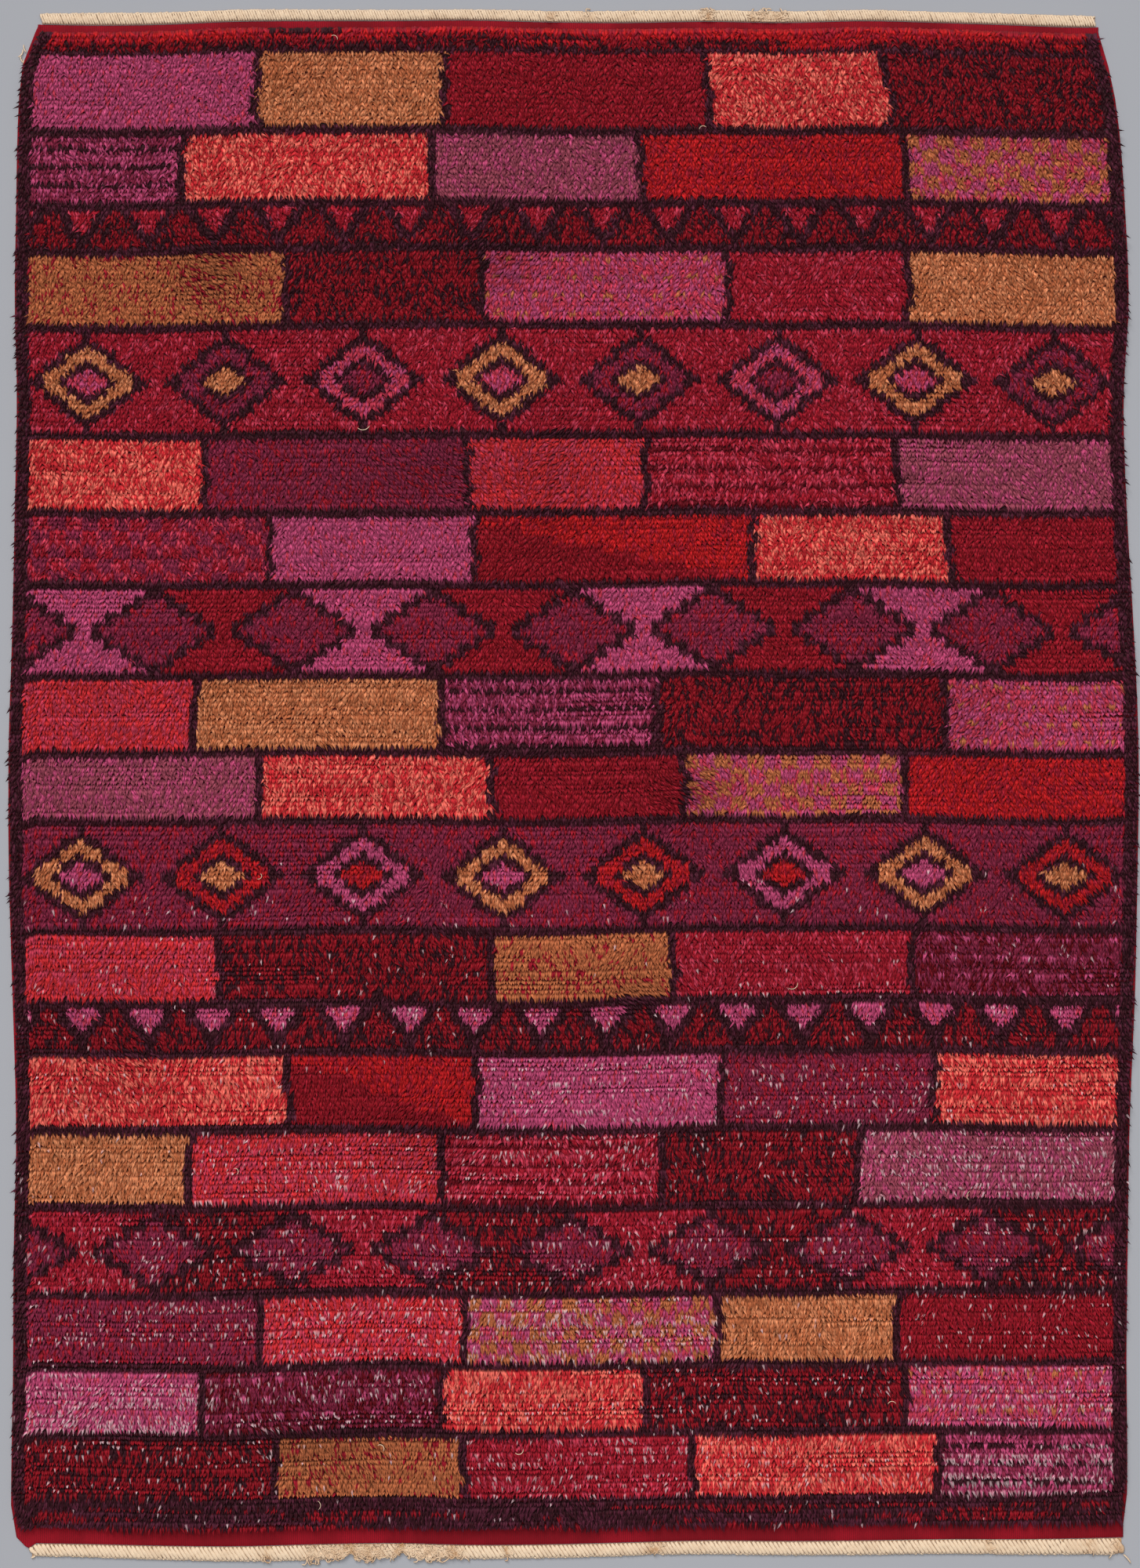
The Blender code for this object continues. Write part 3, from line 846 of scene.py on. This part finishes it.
def make_plait(name, start, stop, seam, outward, laid):
    """Slanted strands side by side from seam to outer edge, over a flat bed, with a cord outside."""
    places = np.arange(start + laid.pitch / 2, stop, laid.pitch)
    places = places + chance.normal(0, 0.2 * MM, len(places))
    at = [row.at * MM for row in BRAID_WIDTHS]
    widths = [getattr(row, laid.widths) * MM for row in BRAID_WIDTHS]

    def near_worn(x, measure):
        """How strongly a measure of the worn places tells at x."""
        total = 0.0
        for worn in laid.worn:
            total = total + getattr(worn, measure) * np.exp(-(((x / MM - worn.x) / worn.wide) ** 2))
        return total

    def across(x, share, up):
        """A point a share of the way from the seam to the outer edge."""
        near_seam = np.interp(x, seam[:, 0], seam[:, 1])
        width = np.interp(x, at, widths) * (1 - near_worn(x, "gone"))
        reach = BRAID_GAP + BRAID_RISE + (width - BRAID_GAP - 2 * BRAID_RISE) * share
        return np.stack([x, near_seam + outward * reach, up], axis=-1)

    share = np.linspace(0, 1, BRAID_STEPS)
    slant = laid.slant * np.interp(places, at, widths)[:, None] * (0.5 - share)
    x = np.clip(places[:, None] + slant, start, stop)
    crown = BRAID_FOOT + (BRAID_CROWN - BRAID_FOOT) * np.sin(np.pi * (0.12 + 0.76 * share)) ** 0.7
    up = crown + chance.normal(0, 0.3 * MM, x.shape)
    swell = 1 - 0.35 * abs(2 * share - 1) ** 3
    strands = tubes(
        name,
        across(x, share, up),
        laid.half * swell * chance.normal(1, 0.14, x.shape),
        BRAID_RISE * swell * np.ones((len(places), 1)),
        BRAID_SIDES,
    )
    bed_x = np.linspace(start + MM, stop - MM, BED_STEPS)
    bed_rows = [across(bed_x, np.full(BED_STEPS, line), np.full(BED_STEPS, top)) for line, top in BED_LINES]
    bed = closed_grid(name + "_bed", np.stack(bed_rows[::outward]))
    lobes = np.arange(start + 2 * MM, stop - 2 * MM, CORD_PITCH)
    along = np.linspace(-1, 1, 5)
    lobe_x = np.clip(lobes[:, None] + along * CORD_PITCH * 0.8, start, stop)
    lobe_share = 0.97 + 0.075 * along * np.ones((len(lobes), 1))
    lobe_share = lobe_share + chance.normal(0, 0.02, (len(lobes), 1))
    lobe_up = CORD_HALF + 0.6 * MM * (1 - along**2) * np.ones((len(lobes), 1))
    round_off = np.sqrt(1 - 0.8 * along**2) * np.ones((len(lobes), 1))
    cord = tubes(
        name + "_cord",
        across(lobe_x, lobe_share, lobe_up),
        CORD_HALF * 1.05 * round_off,
        CORD_HALF * 0.85 * round_off,
        BRAID_SIDES,
    )
    threads = sum(worn.ends for worn in laid.worn)
    at_x = np.repeat([worn.x * MM for worn in laid.worn], [worn.ends for worn in laid.worn])
    spread = np.repeat([worn.wide * MM for worn in laid.worn], [worn.ends for worn in laid.worn])
    at_x = at_x + chance.uniform(-1, 1, threads) * spread
    step = np.linspace(0, 1, LOOSE_STEPS)
    way = chance.uniform(-math.pi, math.pi, threads)[:, None]
    curl = chance.normal(0, 3.0, threads)[:, None]
    way = way + curl * step
    piece = chance.uniform(1.3, 2.5, threads)[:, None] * MM
    loose_x = at_x[:, None] + np.cumsum(np.sin(way) * piece, axis=1)
    rooted = chance.uniform(0.1, 0.95, threads)[:, None]
    loose_share = rooted + np.cumsum(np.cos(way) * piece, axis=1) / LOOSE_OVER
    hanging = np.clip(loose_share - 0.9, 0, 1) / 0.4
    loose_up = BRAID_CROWN + 2.0 * MM * np.sin(np.pi * step) - 2.4 * MM * hanging
    loose_x = np.clip(loose_x, start, stop)
    loose_share = np.clip(loose_share, 0.02, 1.35)
    loose_up = np.maximum(loose_up, 0.9 * MM)
    ends = tubes(
        name + "_ends",
        across(loose_x, loose_share, loose_up),
        np.full((threads, LOOSE_STEPS), LOOSE_HALF[0]),
        np.full((threads, LOOSE_STEPS), LOOSE_HALF[1]),
        LOOSE_SIDES,
    )
    plait = joined(name, strands, bed, cord, ends)
    x = np.array([vertex.co.x for vertex in plait.data.vertices])
    mark_points(plait.data, "brown", "FLOAT", "value", near_worn(x, "brown"))
    return plait


def plaited_warp():
    """Cream warp yarn, fine-twisted, yellowed with handling and stained brown in a few places, with painted
    shade in the grooves of the twist, down the sides of the strands and on the bed between them.
    """
    material, tree, shader = new_material("plaited_warp")
    place = node(tree, "ShaderNodeTexCoord").outputs["Object"]
    slanted = node(tree, "ShaderNodeMapping", {"Vector": place, "Rotation": (0, 0, 0.9)}).outputs[0]
    twist = ribs(tree, slanted, 1.5 * MM, "X", 2.0)
    fibres = noise(tree, place, 0.8 * MM, 3.0)
    yellowed = noise(tree, place, 35 * MM, 4.0)
    blots = noise(tree, place, 9 * MM, 3.0)
    crown = node(tree, "ShaderNodeAttribute", attribute_name="crown").outputs["Fac"]
    brown = node(tree, "ShaderNodeAttribute", attribute_name="brown").outputs["Fac"]
    shade = ramp(tree, sums(tree, "ADD", twist, fibres), 0.4, 1.5, 0.5, 1.0)
    # Painted shade: the twist's grooves and the strands' sides darkened, and the bed, which has no crown
    # mark, dark all over
    shade = sums(tree, "MULTIPLY", shade, ramp(tree, crown, 0.5, 0.88, 0.0, 1.0))
    colour = mixed(tree, shade, rgba(CREAM_SHADE_AND_YELLOWING), rgba(CREAM))
    colour = mixed(tree, ramp(tree, yellowed, 0.5, 0.75, 0.0, 0.35), colour, rgba(CREAM_SHADE_AND_YELLOWING))
    soiled = sums(tree, "MULTIPLY", brown, ramp(tree, blots, 0.35, 0.6, 0.2, 1.0))
    colour = mixed(tree, soiled, colour, rgba(CREAM_STAIN))
    tree.links.new(colour, shader.inputs["Base Color"])
    tree.links.new(ramp(tree, fibres, 0.3, 0.7, 0.65, 0.9), shader.inputs["Roughness"])
    relief = sums(tree, "ADD", twist, fibres)
    tree.links.new(bumped(tree, relief, 0.5 * MM, 0.7), shader.inputs["Normal"])
    shader.inputs["Sheen Weight"].default_value = 0.2
    return material


warp_yarn = plaited_warp()
far_low, far_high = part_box("far_plait")
near_low, near_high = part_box("near_plait")
far_plait = make_plait("far_warp_plait", far_low.x, far_high.x, far_edge, 1, FAR_LAID)
near_plait = make_plait("near_warp_plait", near_low.x, near_high.x, near_edge, -1, NEAR_LAID)
for plait, stands_for in ((far_plait, "far_plait"), (near_plait, "near_plait")):
    plait.data.materials.append(warp_yarn)
    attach(plait, "root")
    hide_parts(stands_for)


# The strays: a loose end of plait yarn at the right near corner, a wisp of lint at the far left one,
# and single pale hairs caught in the pile. Each is a thin curled thread; all lie where they fell.
# Places, lengths and heights are in mm.
Stray = namedtuple("Stray", "x y way curl long thick up")
ON_PILE = 14.4
STRAY_STEPS = 9
STRAY_SIDES = 5
STRAYS = (
    Stray(846, -1186, -0.6, -0.3, 18, 1.3, 2.5),
    Stray(-848, 1143, -1.7, 0.5, 13, 1.1, 2.0),
    Stray(-850, 1136, -1.3, -0.9, 15, 1.1, 2.5),
    Stray(-852, 1126, -1.9, 0.8, 13, 1.1, 2.0),
    Stray(-849, 1120, -1.2, -0.5, 10, 0.9, 2.2),
    Stray(-364, 1144, 1.2, 1.5, 14, 0.5, ON_PILE),
    Stray(-334, 551, -0.9, 1.2, 22, 0.6, ON_PILE),
    Stray(344, -302, -1.3, -1.4, 20, 0.6, ON_PILE),
    Stray(-303, -1018, 0.8, -1.8, 18, 0.6, ON_PILE),
    Stray(-91, -1026, -1.0, 1.6, 18, 0.6, ON_PILE),
    Stray(-394, -1116, 0.5, 1.3, 16, 0.5, ON_PILE),
    Stray(483, -955, 1.4, -1.5, 16, 0.5, ON_PILE),
    Stray(-488, -144, -0.6, 1.8, 14, 0.5, ON_PILE),
    Stray(205, 1010, 2.2, 1.4, 14, 0.5, ON_PILE),
    Stray(-520, -600, 0.3, 1.9, 15, 0.5, ON_PILE),
    Stray(610, -640, 2.6, -1.2, 16, 0.5, ON_PILE),
)


def make_strays():
    """Each stray thread as a thin curled tube."""
    step = np.linspace(0, 1, STRAY_STEPS)
    table = np.array(STRAYS)
    way = table[:, 2, None] + table[:, 3, None] * 1.6 * step
    piece = table[:, 4, None] * MM / (STRAY_STEPS - 1)
    x = table[:, 0, None] * MM + np.cumsum(np.cos(way) * piece, axis=1)
    y = table[:, 1, None] * MM + np.cumsum(np.sin(way) * piece, axis=1)
    up = table[:, 6, None] * MM * np.ones_like(x)
    size = table[:, 5, None] * MM * np.sqrt(np.clip(1.05 - (2 * step - 1) ** 4, 0.2, 1))
    return tubes("stray_threads", np.stack([x, y, up], axis=-1), size, size, STRAY_SIDES)


stray_threads = make_strays()
stray_threads.data.materials.append(warp_yarn)
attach(stray_threads, "root")


# The studio: a pale floor under the rug, one broad soft light from beyond its far end, a weaker one
# overhead, and a camera straight above, as the photograph was taken.
FLOOR_GREY = (150, 151, 156)
FLOOR_SHADE = (0.3, 0.3, 0.32, 1.0)
FLOOR_HALF = 6.0
FLOOR_DROP = 0.2 * MM
PHOTO_TALL = 2.420
PHOTO_MIDDLE = (-0.0055, 0.001)
CAMERA_HEIGHT = 4.2
SENSOR = 36.0
KEY_POWER = 2.35
KEY_SOFTNESS_DEG = 30
KEY_DIRECTION = (0.22, -0.75, -0.68)
FILL_POWER = 350
FILL_SIZE = 6.0
FILL_HEIGHT = 7.0


def make_floor():
    """A pale paper floor, a hair below the rug's underside."""
    mesh = bpy.data.meshes.new("studio_floor")
    corners = ((-1, -1), (1, -1), (1, 1), (-1, 1))
    points = [(x * FLOOR_HALF, y * FLOOR_HALF, -FLOOR_DROP) for x, y in corners]
    mesh.from_pydata(points, [], [(0, 1, 2, 3)])
    floor = bpy.data.objects.new("studio_floor", mesh)
    bpy.context.scene.collection.objects.link(floor)
    material, tree, shader = new_material("floor_paper")
    place = node(tree, "ShaderNodeTexCoord").outputs["Object"]
    grain = noise(tree, place, 0.4, 2.0)
    shade = ramp(tree, grain, 0.3, 0.7, 0.0, 0.06)
    colour = mixed(tree, shade, rgba(FLOOR_GREY), FLOOR_SHADE)
    tree.links.new(colour, shader.inputs["Base Color"])
    shader.inputs["Roughness"].default_value = 0.9
    mesh.materials.append(material)
    return floor


def aim_down(lamp, direction):
    """Turns a lamp so that it shines along a direction."""
    lamp.rotation_euler = Vector(direction).to_track_quat("-Z", "Y").to_euler()


def add_light(name, kind, power):
    """A lamp of one kind, to be aimed and placed."""
    light = bpy.data.lights.new(name, kind)
    light.energy = power
    lamp = bpy.data.objects.new(name, light)
    bpy.context.scene.collection.objects.link(lamp)
    return lamp


make_floor()
key_light = add_light("key_light", "SUN", KEY_POWER)
key_light.data.angle = math.radians(KEY_SOFTNESS_DEG)
aim_down(key_light, KEY_DIRECTION)
fill_light = add_light("fill_light", "AREA", FILL_POWER)
fill_light.data.size = FILL_SIZE
fill_light.location = (0.0, -0.3, FILL_HEIGHT)
world = bpy.data.worlds.new("studio_air")
world.use_nodes = True
world.node_tree.nodes["Background"].inputs["Color"].default_value = (0.95, 0.97, 1.0, 1.0)
world.node_tree.nodes["Background"].inputs["Strength"].default_value = 0.22
bpy.context.scene.world = world
bpy.context.scene.view_settings.view_transform = "Standard"

camera_data = bpy.data.cameras.new("camera")
camera_data.sensor_width = SENSOR
camera_data.lens = SENSOR * CAMERA_HEIGHT / PHOTO_TALL
camera = bpy.data.objects.new("camera", camera_data)
camera.location = (*PHOTO_MIDDLE, CAMERA_HEIGHT)
bpy.context.scene.collection.objects.link(camera)
bpy.context.scene.camera = camera
